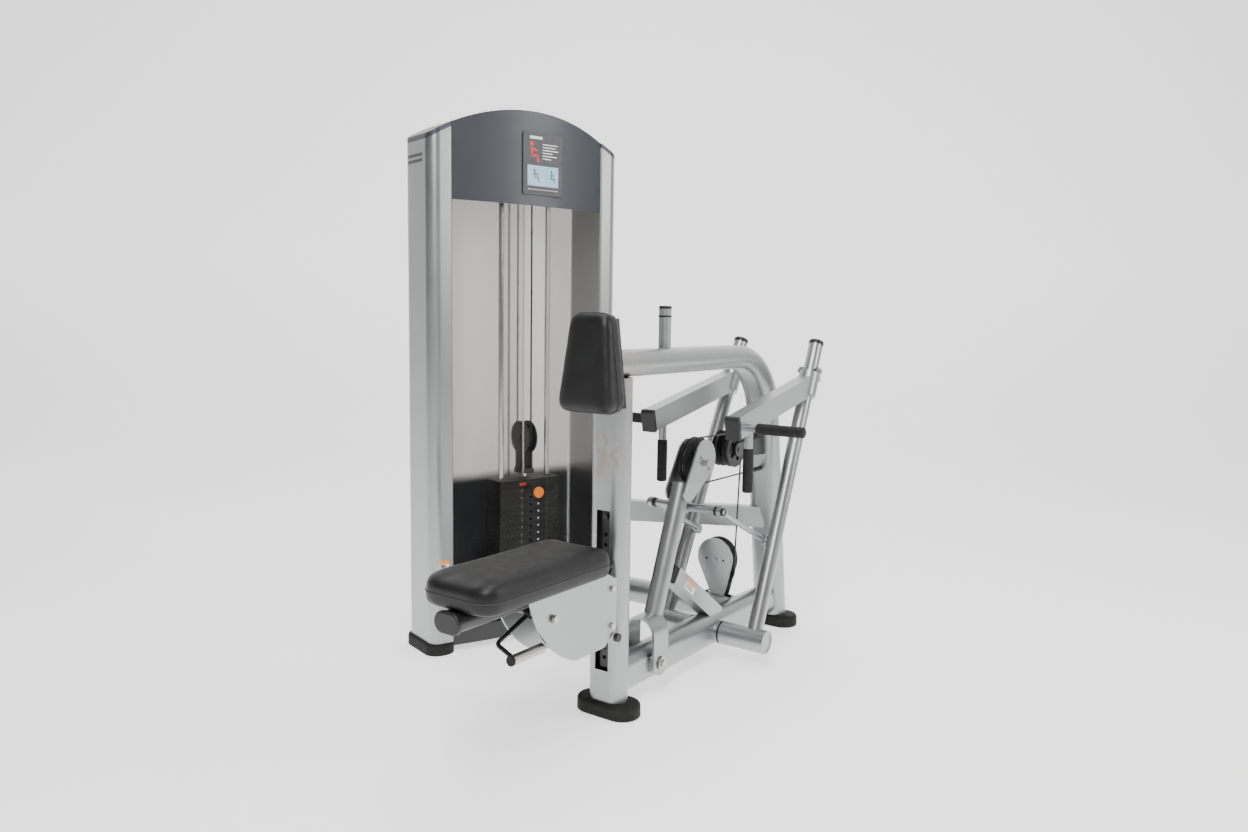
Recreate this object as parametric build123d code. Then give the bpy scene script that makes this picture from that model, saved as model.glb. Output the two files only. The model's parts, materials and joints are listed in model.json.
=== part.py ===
from build123d import *
import os
from math import atan2, cos, degrees, hypot, pi, radians, sin, sqrt, tan

os.makedirs("parts", exist_ok=True)

# Seated row machine with a selectorised weight stack.
# Units are millimetres. The origin is on the floor under the front post, +X is the way the seated user
# faces, +Y points to the weight tower and +Z is up.

# ---------------------------------------------------------------- main frame
TUBE_W, TUBE_D, TUBE_WALL = 120, 76, 4          # flat-oval main tube: across Y, thickness, wall
TOP_Z = 1015                                    # centre line of the top tube
POST_TOP = TOP_Z - TUBE_D / 2
POST_FOOT_Z = 36                                # where the posts stand in their rubber feet
REAR_FOOT_X = 1037                              # rear post centre at the floor
REAR_LEAN = 0.1455                              # the rear post leans back towards its foot, dx per dz
BEND_R = 240                                    # top tube to rear post
TOP_FRONT_X = -36
WELD_Z = 735                                    # butt weld between the bend and the rear post
BEAM_W, BEAM_H, BEAM_Z = 80, 116, 102           # base beam section and centre height
FOOT_L, FOOT_W, FOOT_H = 204, 108, 42
ACC_X, ACC_TOP = 262, 1180                      # accessory tube on the top tube

# ---------------------------------------------------------------- seat
SLOT_W, SLOT_LO, SLOT_HI = 46, 135, 602         # slot in the front of the post
SEAT_X0, SEAT_X1, SEAT_HALF = -630, -128, 118
SEAT_Z0, SEAT_Z1 = 456, 530
SEAT_TUBE_W, SEAT_TUBE_H = 80, 46
CARR_Y, CARR_T = 56, 6                          # carriage side plates: inner face and thickness
CARR_X1 = -46                                   # carriage edge next to the post
SEAT_BOLT = (-330, 375)

# ---------------------------------------------------------------- chest pad
PAD_Z0, PAD_Z1 = 884, 1156
PAD_HALF_LO, PAD_HALF_HI = 97, 66
PAD_X_BACK, PAD_T_LO, PAD_T_HI = -62, 84, 62

# ---------------------------------------------------------------- rowing arms
ARM_X, ARM_Z = 565, 96                          # hinge axis of both arms, along Y
HUB_R, HUB_IN, SPINDLE_R = 38, 30, 25
HUB_Y0, HUB_Y1 = 60, 222
ARM_R = 25.5
ARM_FOOT_Y, ARM_TOP_Y = 172, 152
ARM_TOP = (1019, 1052)                          # x, z of the arm tube's upper end
COLLAR_Z0, COLLAR_Z1, COLLAR_R = 876, 954, 36
FORE_END = (424, 157, 808)                      # centre of the forearm's front end
FORE_W, FORE_H = 46, 70
GRIP_R = 17
DOWN_GRIP_X, DOWN_GRIP_Y, DOWN_GRIP_TOP, DOWN_GRIP_LEN = 511, 163, 735, 142
OUT_GRIP_X, OUT_GRIP_Z, OUT_GRIP_Y0, OUT_GRIP_Y1 = 470, 806, 212, 372

# ---------------------------------------------------------------- central lever and links
LEV_X, LEV_Z = 190, 102                         # lever hinge axis, along Y
YOKE_IN, YOKE_T, YOKE_W, YOKE_TOP = 48, 8, 78, 245
LEV_TUBE_R = 30
LEV_FOOT, LEV_HEAD = (219, 206), (376, 620)     # x, z ends of the lever tube
PULL_Y, PULL_T = 30.2, 6                        # pulley side plates: inner face and thickness
BAR_X, BAR_Z, BAR_R, BAR_HALF = 404, 543, 12.5, 118
LINK_Y, LINK_RING_R, LINK_RING_W = 128, 17, 15
LINK_END = (700, 400)                           # x, z of the link's pin on the arm

# ---------------------------------------------------------------- pulleys and cable
CABLE_R = 3
PULLEY_W = 20
LEV_PULLEY = (458, 681, 77)                     # x, z, radius of the cable's centre line
UP_PULLEY = (712, 696, 57)
LOW_PULLEY = (768, 84, 286, 70)                 # x, y, z, radius
ANCHOR_X = 868
TURN_SLACK = 0.4                                # leaves a short straight between two quarter turns
STOP_END = (326, 338)                           # x, z of the stop tube's upper end
STOP_DIR = (0.811, -0.585)

# ---------------------------------------------------------------- weight tower
TOWER_C = (355.5, 623)                          # middle of the front, on the floor
TOWER_YAW = -16.5
PANEL_HALF, BOW = 297, 28                       # half width between the columns, bow of the front
COL_W, TOWER_D = 80, 186
HEADER_Z, ARCH_TOP, ARCH_R = 1515, 1827, 703
BASE_Z0 = 22
STACK_T, STACK_D = 12, 50                       # stack centre: across and back from the front line
PLATE_L, PLATE_DEEP, PLATE_H, PLATE_PITCH = 250, 92, 25, 26
STACK_Z0, PLATE_N = 124, 16
ROD_T, ROD_R = 95, 9.5
HEAD_R, HEAD_Z = 45, 712                        # stack pulley: cable radius and centre height
RISE_D, TOP_R, TOP_PULLEY_Z = 155, 30, 1610
BASE_R, CABLE_Z = 35, 116
CORNER_R = 28
SEAT_PIN_Y = 20


# ================================================================ helpers
NODES = {}


def keep(name, *solids):
    """Store the solids of one named piece."""
    flat = []
    for item in solids:
        flat.extend(item.solids())
    NODES[name] = flat


def rod(p, q, r):
    """A round bar from p to q."""
    p, q = Vector(*p), Vector(*q)
    plane = Plane(origin=p, z_dir=q - p)
    return extrude(plane * Circle(r), (q - p).length)


def pipe(p, q, r, inner):
    """A round tube from p to q."""
    return rod(p, q, r) - rod(p, q, inner)


def ring_y(x, z, y0, y1, r, inner=0):
    """A disc or ring about an axis along Y."""
    body = rod((x, y0, z), (x, y1, z), r)
    return body - rod((x, y0, z), (x, y1, z), inner) if inner else body


def block(x0, x1, y0, y1, z0, z1):
    """An axis-aligned box from its limits."""
    return Pos((x0 + x1) / 2, (y0 + y1) / 2, (z0 + z1) / 2) * Box(abs(x1 - x0), abs(y1 - y0), abs(z1 - z0))


def box_bar(p, q, wide, high):
    """A solid rectangular bar from p to q, `wide` being horizontal."""
    p, q = Vector(*p), Vector(*q)
    side = Vector(0, 0, 1).cross(q - p)
    return extrude(Plane(origin=p, x_dir=side, z_dir=q - p) * Rectangle(wide, high), (q - p).length)


def xz_plate(outline, y0, y1):
    """A plate cut from an outline in the XZ plane, between two y values."""
    face = Plane.XZ * (make_face(outline) if isinstance(outline, list) else outline)
    return extrude(Pos(0, y0, 0) * face, y1 - y0, dir=(0, 1, 0))


def mirror_y(shape):
    """The same piece on the other side of the machine."""
    return mirror(shape, Plane.XZ)


def hex_head(p, direction, across, high):
    """A hexagon bolt head standing on p."""
    return extrude(Plane(origin=p, z_dir=direction) * RegularPolygon(across / 2, 6, major_radius=False), high)


def pulley(axis_plane, cable_radius, bore):
    """A grooved wheel centred on the plane's origin, its axis along the plane's normal."""
    groove = cable_radius - CABLE_R - 0.8
    rim, half = cable_radius + 5, PULLEY_W / 2
    points = [(bore, -half), (rim, -half), (rim, -half + 2), (groove, -4.2), (groove, 4.2),
              (rim, half - 2), (rim, half), (bore, half)]
    wheel = revolve(Plane.XZ * make_face(Polyline(*points, close=True)), Axis.Z)
    wheel -= [Rot(0, 0, 72 * i) * Pos(groove * 0.62, 0, 0) * Cylinder(groove * 0.16, PULLEY_W) for i in range(5)]
    return axis_plane.location * wheel


# ================================================================ main frame
def frame_path():
    """Centre line of the bent tube: top run, bend and leaning rear post."""
    top = REAR_FOOT_X - REAR_LEAN * TOP_Z
    foot = (REAR_FOOT_X - REAR_LEAN * POST_FOOT_Z, 0, POST_FOOT_Z)
    return FilletPolyline((TOP_FRONT_X, 0, TOP_Z), (top, 0, TOP_Z), foot, radius=BEND_R)


def bent_tube(shrink=0):
    """The bent flat-oval bar, reduced all round by `shrink`."""
    section = Plane(origin=(TOP_FRONT_X, 0, TOP_Z), x_dir=(0, 1, 0), z_dir=(1, 0, 0))
    return sweep(section * SlotOverall(TUBE_W - 2 * shrink, TUBE_D - 2 * shrink), path=frame_path())


def post_bar(shrink=0):
    """The upright front post, reduced all round by `shrink`."""
    section = Plane(origin=(0, 0, POST_FOOT_Z), x_dir=(0, 1, 0), z_dir=(0, 0, 1))
    return extrude(section * SlotOverall(TUBE_W - 2 * shrink, TUBE_D - 2 * shrink), POST_TOP - POST_FOOT_Z)


def beam_bar(shrink=0):
    """The base beam between the two feet."""
    section = Plane(origin=(0, 0, BEAM_Z), x_dir=(0, 0, 1), z_dir=(1, 0, 0))
    return extrude(section * SlotOverall(BEAM_H - 2 * shrink, BEAM_W - 2 * shrink), REAR_FOOT_X - 15)


def make_foot(x):
    """A moulded rubber foot with a pocket for the tube."""
    foot = extrude(Plane(origin=(x, 0, 0), x_dir=(0, 1, 0), z_dir=(0, 0, 1)) * SlotOverall(FOOT_L, FOOT_W), FOOT_H)
    foot = fillet(foot.edges().group_by(Axis.Z)[-1], 12)
    return chamfer(foot.edges().group_by(Axis.Z)[0], 3)


def make_frame():
    """Posts, beam, braces and feet."""
    post = post_bar() - post_bar(TUBE_WALL)
    window = block(-60, -TUBE_D / 2 + 12, -SLOT_W / 2, SLOT_W / 2, SLOT_LO, SLOT_HI)
    keep("front_post", post - window)
    bent = bent_tube()
    tube = bent - bent_tube(TUBE_WALL) + accessory_tube()
    below = block(-100, 1300, -80, 80, -50, WELD_Z)
    keep("top_frame_tube", tube - below, tube & below)
    plug = extrude(Plane(origin=(TOP_FRONT_X, 0, TOP_Z), x_dir=(0, 1, 0), z_dir=(-1, 0, 0))
                   * SlotOverall(TUBE_W, TUBE_D), 5)
    keep("tube_caps", plug, *accessory_trim())
    beam = beam_bar() - beam_bar(TUBE_WALL)
    beam = beam - post_bar() - bent
    beam -= ring_y(LEV_X, LEV_Z, -60, 60, 15)
    beam -= ring_y(ARM_X, ARM_Z, -60, 60, SPINDLE_R)
    beam = max(beam.solids(), key=lambda s: s.volume)
    keep("base_beam", beam + welded_collars())
    keep("frame_feet", make_foot(0) - post_bar(), make_foot(REAR_FOOT_X + 2) - bent)


def accessory_tube():
    """The short tube welded upright on the top tube."""
    x, z0 = ACC_X, TOP_Z + TUBE_D / 2
    return pipe((x, 0, z0 - 1), (x, 0, ACC_TOP - 9), 19, 16)


def accessory_trim():
    """Cap and ring of the accessory tube."""
    cap = Pos(ACC_X, 0, ACC_TOP - 4.5) * Cylinder(19.5, 9)
    cap = fillet(cap.edges().group_by(Axis.Z)[-1], 3)
    return cap, pipe((ACC_X, 0, ACC_TOP - 34), (ACC_X, 0, ACC_TOP - 29), 20.5, 19)


def welded_collars():
    """The arm hub collars and lever pivot bosses welded on the sides of the beam."""
    pieces = []
    for side in (-1, 1):
        collar = ring_y(ARM_X, ARM_Z, side * 30, side * 53, HUB_R, SPINDLE_R) - beam_bar()
        boss = ring_y(LEV_X, LEV_Z, side * 30, side * 47.6, 37, 15) - beam_bar()
        pieces += [max(p.solids(), key=lambda s: s.volume) for p in (collar, boss)]
    return pieces


def make_stop():
    """The sloping stop tube on the beam and its rubber bumper."""
    ux, uz = STOP_DIR
    start = (STOP_END[0], 0, STOP_END[1])
    end = (STOP_END[0] + 340 * ux, 0, STOP_END[1] + 340 * uz)
    bar = box_bar(start, end, 50, 56) - box_bar(start, end, 43, 49)
    bar += box_bar(start, (start[0] + 5 * ux, 0, start[2] + 5 * uz), 50, 56)
    bar -= beam_bar()
    keep("stop_tube", max(bar.solids(), key=lambda s: s.volume))
    lever = lever_bar(LEV_TUBE_R + 0.3)
    bumper = box_bar((start[0] - 26 * ux, 0, start[2] - 26 * uz), start, 44, 50)
    keep("rubber_stops", max((bumper - lever).solids(), key=lambda s: s.center().X), *stack_cushions())


# ================================================================ tower frame of reference
TOWER = Plane(origin=(*TOWER_C, 0), x_dir=(cos(radians(TOWER_YAW)), sin(radians(TOWER_YAW)), 0), z_dir=(0, 0, 1))


def to_world(t, d, z):
    """World point for a place across (t) and back (d) in the tower."""
    return tuple(TOWER.from_local_coords(Vector(t, d, z)))


def placed(shape):
    """Move a shape built in tower coordinates into place."""
    return TOWER.location * shape


def column_bar(side, shrink=0, z0=38, z1=1760):
    """A tower column as a bar, rounded at its outer corners."""
    centre = side * (PANEL_HALF + COL_W / 2)
    bar = Pos(centre, TOWER_D / 2 - 3, (z0 + z1) / 2) * Box(COL_W - 2 * shrink, TOWER_D + 6 - 2 * shrink, z1 - z0)
    uprights = bar.edges().filter_by(Axis.Z)
    outer = [e for e in uprights if abs(e.center().X) > PANEL_HALF + COL_W / 2]
    inner = [e for e in uprights if abs(e.center().X) < PANEL_HALF + COL_W / 2]
    bar = fillet(outer, 36 - shrink)
    inner = [e for e in bar.edges().filter_by(Axis.Z) if abs(e.center().X) < PANEL_HALF + shrink + 1]
    return fillet(inner, 8 - shrink)


def arch_bar(drop=0, depth0=-60, depth1=TOWER_D + 20):
    """Everything under the arched top line, lowered by `drop`."""
    z_mid = ARCH_TOP - ARCH_R
    middle, long = (depth0 + depth1) / 2, depth1 - depth0
    disc = Pos(0, middle, z_mid) * Rot(90, 0, 0) * Cylinder(ARCH_R - drop, long)
    return disc + Pos(0, middle, z_mid / 2) * Box(2 * (ARCH_R - drop), long, z_mid)


def bow_front(offset=0):
    """The bowed front line as a plan arc from column to column, moved back by `offset`."""
    half = PANEL_HALF
    return ThreePointArc((-half, offset), (0, offset - BOW), (half, offset))


def bowed_slab(offset, thick, t0, t1, z0, z1):
    """A curved panel that follows the bowed front between t0 and t1."""
    outer, inner = bow_front(offset), bow_front(offset + thick)
    sides = [Line(outer @ 1, inner @ 1), Line(inner @ 0, outer @ 0)]
    slab = extrude(Pos(0, 0, z0) * make_face([outer, inner, *sides]), z1 - z0)
    return slab & (Pos((t0 + t1) / 2, 0, (z0 + z1) / 2) * Box(t1 - t0, 400, z1 - z0))


def header_block(inset):
    """The head of the tower as a solid, reduced by `inset` at the front and top."""
    front = bow_front(inset)
    back = Polyline((PANEL_HALF, inset), (PANEL_HALF, TOWER_D), (-PANEL_HALF, TOWER_D), (-PANEL_HALF, inset))
    body = extrude(Pos(0, 0, HEADER_Z - inset) * make_face([front, *back.edges()]), ARCH_TOP - HEADER_Z + 20)
    return body & arch_bar(inset)


def make_tower_shell():
    """Columns, caps, header, shrouds, covers and feet."""
    cable_hole = Pos(PANEL_HALF, RISE_D, CABLE_Z) * Rot(0, 90, 0) * Cylinder(12, 30)
    left = placed((column_bar(-1) - column_bar(-1, 3)) & arch_bar(14))
    right = placed(((column_bar(1) - column_bar(1, 3)) & arch_bar(14)) - cable_hole)
    corner = (PANEL_HALF + 40 - CORNER_R, RISE_D - CORNER_R, CABLE_Z)
    right -= placed(Pos(*corner) * Cylinder(CORNER_R + 16, 30))
    keep("tower_columns", left, right - floor_brace_bar(30))
    caps = []
    for side in (-1, 1):
        cap = column_bar(side, 0, 1600, 1840)
        caps.append(placed((cap & arch_bar(0)) - arch_bar(14)))
    keep("column_caps", *caps)
    header = header_block(0) - header_block(5)
    keep("header_cover", placed(header))
    gap0, gap1 = STACK_T - 53, STACK_T + 53
    low, high = BASE_Z0 + 62, HEADER_Z - 1
    panels = [bowed_slab(1, 3, -PANEL_HALF + 1, gap0, low, high), bowed_slab(1, 3, gap1, PANEL_HALF - 1, low, high)]
    panels += [bowed_slab(1, 9, a, a + 5, low, high) for a in (gap0 + 0.2, gap1 - 5.2)]
    keep("shroud_panels", *[placed(p) for p in panels])
    rear = Pos(0, TOWER_D - 2, 870) * Box(2 * PANEL_HALF, 3, 1660)
    feet = []
    for side in (-1, 1):
        plan = Pos(side * (PANEL_HALF + COL_W / 2), TOWER_D / 2 - 3, 0) * RectangleRounded(COL_W + 22, TOWER_D + 26, 46)
        foot = extrude(plan, 38)
        feet.append(placed(fillet(foot.edges().group_by(Axis.Z)[-1], 8)))
    keep("tower_feet", *feet)
    base = placed(bowed_slab(0, 4, -PANEL_HALF, PANEL_HALF, BASE_Z0, BASE_Z0 + 61)) - feet
    keep("tower_panels", base, placed(rear))
    board = Pos(STACK_T + 20, -BOW - 2.2, 1655) * Box(158, 4, 208)
    board = fillet(board.edges().filter_by(Axis.Y), 8)
    keep("header_placard", placed(board - header_block(0)))


def make_tower_frame():
    """The hidden crossmembers that hold the rods, stack and pulleys."""
    base = Pos(0, 92, 76) * Box(2 * PANEL_HALF, 130, 48)
    base -= Pos(0, 92, 76) * Box(2 * PANEL_HALF, 124, 42)
    base -= [Pos(STACK_T + s * ROD_T, STACK_D, 90) * Cylinder(ROD_R, 60) for s in (-1, 1)]
    top = Pos(0, 92, 1690) * Box(2 * PANEL_HALF, 150, 40)
    top -= Pos(0, 92, 1690) * Box(2 * PANEL_HALF, 144, 34)
    top -= [Pos(STACK_T + s * ROD_T, STACK_D, 1690) * Cylinder(ROD_R, 60) for s in (-1, 1)]
    keep("tower_frame", placed(base), placed(top), *pulley_mounts())
    rods = [placed(Pos(STACK_T + s * ROD_T, STACK_D, 885) * Cylinder(ROD_R, 1610)) for s in (-1, 1)]
    keep("guide_rods", *rods)


def stack_cushions():
    """The rubber rings under the weight stack."""
    pads = [Pos(STACK_T + s * ROD_T, STACK_D, (100 + STACK_Z0) / 2)
            * (Cylinder(24, STACK_Z0 - 100) - Cylinder(ROD_R, 40)) for s in (-1, 1)]
    return [placed(p) for p in pads]


def weight_plate(z):
    """One weight plate with its rod holes, stem hole and pin hole, its underside at z."""
    plate = Pos(STACK_T, STACK_D, z + PLATE_H / 2) * Box(PLATE_L, PLATE_DEEP, PLATE_H)
    plate = fillet(plate.edges().filter_by(Axis.Z), 8)
    plate -= [Pos(STACK_T + s * ROD_T, STACK_D, z) * Cylinder(ROD_R + 1.5, 80) for s in (-1, 1)]
    plate -= Pos(STACK_T, STACK_D, z) * Cylinder(13, 80)
    pin = Pos(STACK_T, STACK_D - 40, z + PLATE_H / 2) * Rot(90, 0, 0) * Cylinder(4.8, 80)
    return plate - pin


def make_stack():
    """The weight plates, top plate, selector stem and stack pulley block."""
    plates = [placed(weight_plate(STACK_Z0 + i * PLATE_PITCH)) for i in range(PLATE_N - 1)]
    keep("weight_plates", *plates)
    first = STACK_Z0 + (PLATE_N - 1) * PLATE_PITCH
    top_z = first + PLATE_PITCH
    top = Pos(STACK_T, STACK_D, top_z + 13) * Box(PLATE_L, PLATE_DEEP, 26)
    top = fillet(top.edges().filter_by(Axis.Z), 8)
    top -= [Pos(STACK_T + s * ROD_T, STACK_D, top_z) * Cylinder(ROD_R + 1.5, 90) for s in (-1, 1)]
    top -= Pos(STACK_T, STACK_D, top_z) * Cylinder(11, 90)
    keep("lifted_plates", placed(weight_plate(first)), placed(top))
    stem_z0, stem_z1 = STACK_Z0 + 16, top_z + 44
    stem = Pos(STACK_T, STACK_D, (stem_z0 + stem_z1) / 2) * Cylinder(11, stem_z1 - stem_z0)
    holes = [Pos(STACK_T, STACK_D, STACK_Z0 + (i + 0.5) * PLATE_PITCH - 0.5) * Rot(90, 0, 0) * Cylinder(4.8, 40)
             for i in range(1, PLATE_N)]
    keep("selector_stem", placed(stem - holes))
    yoke_z0 = stem_z1
    yoke = Pos(STACK_T, STACK_D, yoke_z0 + 9) * Box(44, 60, 18)
    for s in (-1, 1):
        cheek = Pos(STACK_T + s * 17, STACK_D, HEAD_Z) * Rot(0, 90, 0) * Cylinder(58, 6)
        web = Pos(STACK_T + s * 17, STACK_D, (yoke_z0 + HEAD_Z) / 2) * Box(6, 52, HEAD_Z - yoke_z0)
        yoke += cheek + web
    yoke -= Pos(STACK_T, STACK_D, HEAD_Z) * Rot(0, 90, 0) * Cylinder(6, 60)
    axle = Pos(STACK_T, STACK_D, HEAD_Z) * Rot(0, 90, 0) * Cylinder(6, 52)
    keep("stack_pulley_yoke", placed(yoke), placed(axle))


def make_selector_pin():
    """The weight selector: a steel pin with a round knob."""
    z = STACK_Z0 + (PLATE_N - 1) * PLATE_PITCH + PLATE_H / 2
    pin = Pos(STACK_T, 8, z) * Rot(90, 0, 0) * Cylinder(4.75, 96)
    knob = Pos(STACK_T, -48, z) * Rot(90, 0, 0) * Cylinder(19, 16)
    knob = fillet(knob.edges().filter_by(GeomType.CIRCLE), 5)
    collar = Pos(STACK_T, -34, z) * Rot(90, 0, 0) * Cylinder(9, 12)
    keep("selector_pin", placed(pin - knob - collar))
    keep("selector_knob", placed(knob + collar))


# ================================================================ braces between frame and tower
def floor_brace_bar(r):
    """The round floor brace as a bar of radius r, from the beam to the right column."""
    far = to_world(PANEL_HALF + 40, RISE_D - 40, 0)
    return rod((LOW_PULLEY[0], 0, CABLE_Z), (far[0], far[1], CABLE_Z), r)


def make_braces():
    """The floor brace that carries the cable, and the flat brace half way up."""
    column = placed(column_bar(1))
    floor = floor_brace_bar(45) - floor_brace_bar(41)
    slot = block(LOW_PULLEY[0] - 16, LOW_PULLEY[0] + 12, 20, 250, CABLE_Z, CABLE_Z + 80)
    floor = floor - slot - beam_bar() - column
    floor = max(floor.solids(), key=lambda s: s.volume)
    far = to_world(PANEL_HALF + 30, 40, 0)
    start, end = (958, 0, 419), (far[0], far[1], 419)
    flat = box_bar(start, end, 40, 76) - box_bar(start, end, 33, 69)
    flat = flat - bent_tube() - column
    keep("tower_braces", floor, max(flat.solids(), key=lambda s: s.volume))


# ================================================================ pulleys and cable
def xz_tangent(a, b, side):
    """Common outer tangent of two cable circles (x, z, r) in the XZ plane, as two touch points."""
    dx, dz = b[0] - a[0], b[1] - a[1]
    span, base = hypot(dx, dz), atan2(dz, dx)
    turn = side * (pi / 2) + side * atan2(a[2] - b[2], sqrt(span ** 2 - (a[2] - b[2]) ** 2)) * -1
    return [(c[0] + c[2] * cos(base + turn), c[1] + c[2] * sin(base + turn)) for c in (a, b)]


def meet(p, q, x):
    """Height of the line through p and q where it crosses x."""
    return p[1] + (q[1] - p[1]) * (x - p[0]) / (q[0] - p[0])


def cable_route():
    """Corner points and radii of the lifting cable, from its anchor to its end in the tower."""
    lx, lz, lr = LEV_PULLEY
    ux, uz, ur = UP_PULLEY
    top_a, top_b = xz_tangent(LEV_PULLEY, UP_PULLEY, 1)
    left, right = lx - lr, ux + ur
    px, py, pz, pr = LOW_PULLEY
    y_down = py - pr
    foot = to_world(PANEL_HALF + 40, RISE_D - 40, 0)
    slope = (foot[0] - px) / foot[1]
    corner = to_world(PANEL_HALF + 40, RISE_D, CABLE_Z)
    in_tube = (px + slope * 215, 215, CABLE_Z)
    d_back, d_front = STACK_D + HEAD_R, STACK_D - HEAD_R
    top_z, low_z = TOP_PULLEY_Z + TOP_R, HEAD_Z - HEAD_R
    points = [
        (ANCHOR_X, 0, lz - lr), (left, 0, lz - lr), (left, 0, meet(top_a, top_b, left)),
        (right, 0, meet(top_a, top_b, right)), (px, y_down, pz + 40), (px, y_down, pz - pr), in_tube, corner,
        to_world(STACK_T, RISE_D, CABLE_Z), to_world(STACK_T, RISE_D, top_z), to_world(STACK_T, d_back, top_z),
        to_world(STACK_T, d_back, low_z), to_world(STACK_T, d_front, low_z), to_world(STACK_T, d_front, 1669),
    ]
    half_turn = [lr - TURN_SLACK] * 2
    top_turn, head_turn = [TOP_R - TURN_SLACK] * 2, [HEAD_R - TURN_SLACK] * 2
    radii = [*half_turn, ur - TURN_SLACK, 60, pr * 0.9, 60, CORNER_R, BASE_R, *top_turn, *head_turn]
    return points, radii


def make_cable():
    """The coated steel cable, whole, along its route."""
    points, radii = cable_route()
    path = FilletPolyline(*points, radius=radii)
    start = Plane(origin=points[0], z_dir=Vector(*points[1]) - Vector(*points[0]))
    keep("lift_cable", sweep(start * Circle(CABLE_R), path=path))


def axis_y(x, z, y=0):
    """A plane at (x, y, z) whose normal runs along Y."""
    return Plane(origin=(x, y, z), x_dir=(1, 0, 0), z_dir=(0, 1, 0))


def teardrop(x, z, r, tail, tail_r):
    """A plate outline round (x, z) that narrows to a tail end."""
    a = Pos(x, z) * Circle(r)
    b = Pos(*tail) * Circle(tail_r)
    return make_hull((a + b).edges())


def make_pulleys():
    """Every pulley wheel, axle, bracket and guard."""
    lx, lz, lr = LEV_PULLEY
    ux, uz, ur = UP_PULLEY
    keep("lever_pulley", pulley(axis_y(lx, lz), lr, 8.05))
    keep("upper_pulleys", pulley(axis_y(ux, uz), ur, 8.05), pulley(axis_y(ux, uz, 44), ur, 8.05))
    axle = ring_y(ux, uz, -24, 68, 8)
    post = bent_tube()
    arms = []
    for y0 in (-21, 19, 59):
        plate = xz_plate(teardrop(ux, uz, 24, (ux + 236, uz - 6), 34), y0, y0 + 5) - post
        plate = max(plate.solids(), key=lambda s: -s.center().X)
        arms.append(plate - axle)
    rear_x = REAR_FOOT_X - REAR_LEAN * (lz - lr)
    eye = rod((ANCHOR_X, 0, lz - lr), (rear_x, 0, lz - lr), 8) - post
    eye = max(eye.solids(), key=lambda s: -s.center().X)
    swage = rod((ANCHOR_X - 42, 0, lz - lr), (ANCHOR_X, 0, lz - lr), 6.5) - rod(
        (ANCHOR_X - 50, 0, lz - lr), (ANCHOR_X, 0, lz - lr), CABLE_R)
    keep("upper_pulley_bracket", *arms, axle, eye, swage)
    make_low_pulley()
    make_tower_pulleys()


def make_low_pulley():
    """The pulley over the floor brace, turned to face along X, and its two guard plates."""
    px, py, pz, pr = LOW_PULLEY
    plane = Plane(origin=(px, py, pz), x_dir=(0, 1, 0), z_dir=(1, 0, 0))
    keep("lower_pulley", pulley(plane, pr, 8.05))
    axle = rod((px - 26, py, pz), (px + 26, py, pz), 8)
    plates = []
    for x0 in (px - 20, px + 15):
        outline = teardrop(py, pz + 6, 71, (py - 14, CABLE_Z + 46), 26)
        plate = extrude(Plane(origin=(x0, 0, 0), x_dir=(0, 1, 0), z_dir=(1, 0, 0)) * make_face(outline.edges()), 5)
        plate = plate - axle - floor_brace_bar(45) - beam_bar()
        plate -= [rod((x0 - 5, py + s * 34, pz), (x0 + 10, py + s * 34, pz), 4) for s in (-1, 1)]
        plates.append(max(plate.solids(), key=lambda s: s.volume))
    keep("lower_pulley_plates", *plates, axle)


def tower_wheel(t, d, z, radius, normal):
    """A pulley in tower coordinates."""
    x_dir = (0, 0, 1) if normal[2] == 0 else (1, 0, 0)
    return placed(pulley(Plane(origin=(t, d, z), x_dir=x_dir, z_dir=normal), radius, 6.05))


def pulley_mounts():
    """Hangers and axles of the wheels inside the tower."""
    top_d = RISE_D - TOP_R
    axle = Pos(STACK_T, top_d, TOP_PULLEY_Z) * Rot(0, 90, 0) * Cylinder(6, 46)
    cheeks = [Pos(STACK_T + s * 16, top_d, 1632) * Box(5, 40, 76) - axle for s in (-1, 1)]
    base_t, base_z = STACK_T + BASE_R, CABLE_Z + BASE_R
    pin = Pos(base_t, RISE_D - 4, base_z) * Rot(90, 0, 0) * Cylinder(6, 36)
    ears = [Pos(base_t, RISE_D + s * 14, 132) * Box(36, 4, 64) - pin for s in (-1, 1)]
    corner = (PANEL_HALF + 40 - CORNER_R, RISE_D - CORNER_R)
    post = Pos(*corner, 107) * Cylinder(6, 60)
    return [placed(c) for c in (*cheeks, axle, *ears, pin, post)]


def make_tower_pulleys():
    """The wheels inside the tower."""
    keep("stack_pulley", tower_wheel(STACK_T, STACK_D, HEAD_Z, HEAD_R, (1, 0, 0)))
    top_d = RISE_D - TOP_R
    keep("top_pulley", tower_wheel(STACK_T, top_d, TOP_PULLEY_Z, TOP_R, (1, 0, 0)))
    keep("base_pulley", tower_wheel(STACK_T + BASE_R, RISE_D, CABLE_Z + BASE_R, BASE_R, (0, 1, 0)))
    corner_t, corner_d = PANEL_HALF + 40 - CORNER_R, RISE_D - CORNER_R
    keep("corner_pulley", tower_wheel(corner_t, corner_d, CABLE_Z, CORNER_R, (0, 0, 1)))


# ================================================================ central lever
def lever_bar(r):
    """The lever tube as a bar of radius r."""
    return rod((LEV_FOOT[0], 0, LEV_FOOT[1]), (LEV_HEAD[0], 0, LEV_HEAD[1]), r)


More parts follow.
